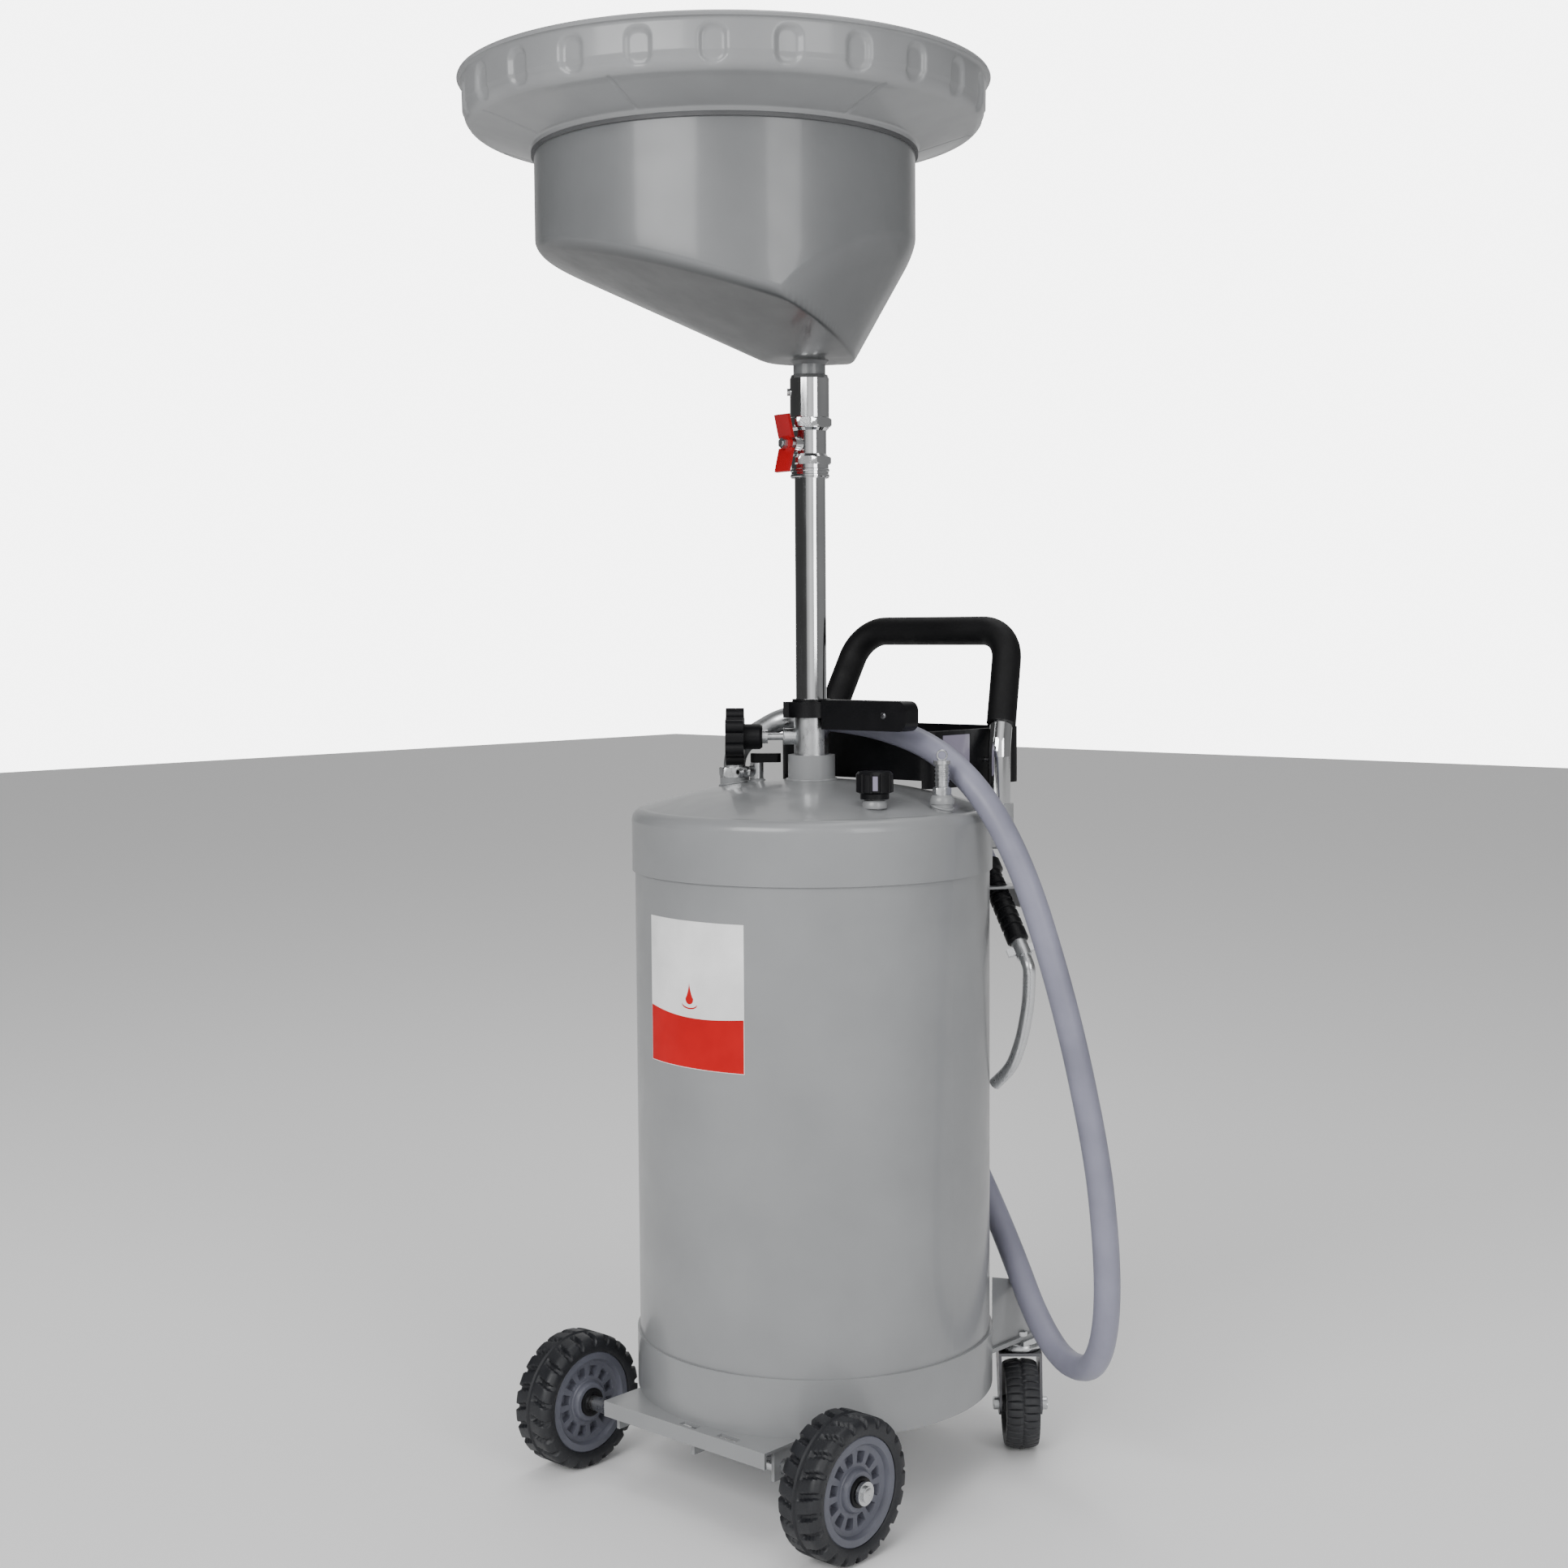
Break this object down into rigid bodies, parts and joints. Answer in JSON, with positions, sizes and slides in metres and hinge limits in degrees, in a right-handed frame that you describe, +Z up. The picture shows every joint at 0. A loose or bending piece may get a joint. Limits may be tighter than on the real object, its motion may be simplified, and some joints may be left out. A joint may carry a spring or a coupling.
{
  "type": "oil drain pan",
  "caption": "Wheeled waste-oil drain with a swivelling eccentric bowl and splash pan on a telescopic mast, a round tank, tool tray, push handle and discharge hose",
  "frame": {"origin": "on the floor under the middle of the object, hose and nozzle left out of the measure", "axes": "+Z up, -Y to the front (large wheels), +Y to the castors and push handle, +X to the hose side"},
  "size_m": [0.704, 0.5869, 1.518],
  "materials": {
    "tank_paint": "satin",
    "bowl_paint": "gloss",
    "pan_paint": "satin",
    "chrome_tube": "polished",
    "bright_steel": "zinc plated",
    "black_plastic": "matte",
    "foam": "matte",
    "red_enamel": "gloss",
    "seal_rubber": "matte",
    "tyre_rubber": "matte",
    "castor_tread": "matte",
    "hub_plastic": "satin",
    "hose_skin": "satin",
    "label_film": "satin"
  },
  "bodies": {
    "root": {"tank_wall": "tank_paint", "tank_top": "tank_paint", "tank_bottom": "tank_paint", "label_plate": "label_film", "mast_collar": "tank_paint", "mast_sleeve": "bright_steel", "guide_bush": "black_plastic", "head_collar": "black_plastic", "mast_grip": "black_plastic", "tank_bosses": "tank_paint", "discharge_pipe": "bright_steel", "dip_tube": "bright_steel", "relief_valve": "bright_steel", "air_valve": "bright_steel", "handle_sockets": "tank_paint", "handle_bolts": "bright_steel", "handle_tube": "chrome_tube", "foam_grip": "foam", "tool_tray": "black_plastic", "tray_screws": "bright_steel", "axle_channel": "tank_paint", "axle_rod": "bright_steel", "axle_retainers": "bright_steel", "castor_brackets": "tank_paint", "castor_plates": "bright_steel", "drain_hose": "hose_skin", "hose_clamp": "bright_steel", "nozzle_grip": "black_plastic", "nozzle_ferrule": "bright_steel", "nozzle_spout": "bright_steel", "nozzle_holder": "tank_paint"},
    "mast": {"mast_tube": "chrome_tube", "mast_guide": "black_plastic", "lower_coupling": "chrome_tube", "valve_body": "chrome_tube"},
    "valve_handle": {"valve_ball": "bright_steel", "valve_stem": "bright_steel", "butterfly_handle": "red_enamel", "handle_nut": "bright_steel"},
    "funnel": {"funnel_bowl": "bowl_paint", "neck_seal": "seal_rubber", "splash_pan": "pan_paint", "outlet_stub": "bowl_paint", "swivel_coupling": "chrome_tube", "swivel_screw": "bright_steel", "strainer": "bright_steel"},
    "clamp_knob": {"knob_stud": "bright_steel", "star_knob": "black_plastic"},
    "air_lever": {"air_lever": "black_plastic"},
    "pressure_cap": {"pressure_cap": "black_plastic"},
    "wheel_left": {"hub_left": "hub_plastic", "tyre_left": "tyre_rubber"},
    "wheel_right": {"hub_right": "hub_plastic", "tyre_right": "tyre_rubber"},
    "castor_left": {"castor_fork_left": "bright_steel", "castor_bolt_left": "bright_steel"},
    "castor_right": {"castor_fork_right": "bright_steel", "castor_bolt_right": "bright_steel"},
    "castor_wheel_left": {"castor_wheel_left": "castor_tread"},
    "castor_wheel_right": {"castor_wheel_right": "castor_tread"}
  },
  "joints": [
    {"name": "mast_slide", "type": "slide", "parent": "root", "child": "mast", "axis": [0, 0, 1], "range_m": [-0.23, 0.3]},
    {"name": "funnel_swivel", "type": "hinge", "parent": "mast", "child": "funnel", "pos_m": [0.0622, 0.0528, 1.18], "axis": [0, 0, 1], "continuous": true},
    {"name": "drain_valve_turn", "type": "hinge", "parent": "mast", "child": "valve_handle", "pos_m": [0.0622, 0.0528, 1.1315], "axis": [-0.153, -0.9882, 0], "range_deg": [0, 90]},
    {"name": "clamp_knob_turn", "type": "hinge", "parent": "root", "child": "clamp_knob", "pos_m": [0.0622, 0.0528, 0.814], "axis": [-0.7524, -0.6587, 0], "range_deg": [0, 720]},
    {"name": "air_lever_turn", "type": "hinge", "parent": "root", "child": "air_lever", "pos_m": [-0.0088, 0.0408, 0.788], "axis": [0, 0, 1], "range_deg": [-90, 0]},
    {"name": "pressure_cap_turn", "type": "hinge", "parent": "root", "child": "pressure_cap", "pos_m": [0.2032, -0.0092, 0.77], "axis": [0, 0, 1], "range_deg": [0, 360]},
    {"name": "wheel_left_spin", "type": "hinge", "parent": "root", "child": "wheel_left", "pos_m": [-0.1328, -0.1288, 0.074], "axis": [1, 0, 0], "continuous": true},
    {"name": "wheel_right_spin", "type": "hinge", "parent": "root", "child": "wheel_right", "pos_m": [0.2572, -0.1288, 0.074], "axis": [1, 0, 0], "continuous": true},
    {"name": "castor_left_swivel", "type": "hinge", "parent": "root", "child": "castor_left", "pos_m": [-0.0738, 0.2518, 0.11], "axis": [0, 0, 1], "continuous": true},
    {"name": "castor_left_spin", "type": "hinge", "parent": "castor_left", "child": "castor_wheel_left", "pos_m": [-0.05931, 0.23525, 0.05], "axis": [0.7524, 0.6587, 0], "continuous": true},
    {"name": "castor_right_swivel", "type": "hinge", "parent": "root", "child": "castor_right", "pos_m": [0.1982, 0.2518, 0.11], "axis": [0, 0, 1], "continuous": true},
    {"name": "castor_right_spin", "type": "hinge", "parent": "castor_right", "child": "castor_wheel_right", "pos_m": [0.21269, 0.23525, 0.05], "axis": [0.7524, 0.6587, 0], "continuous": true}
  ]
}
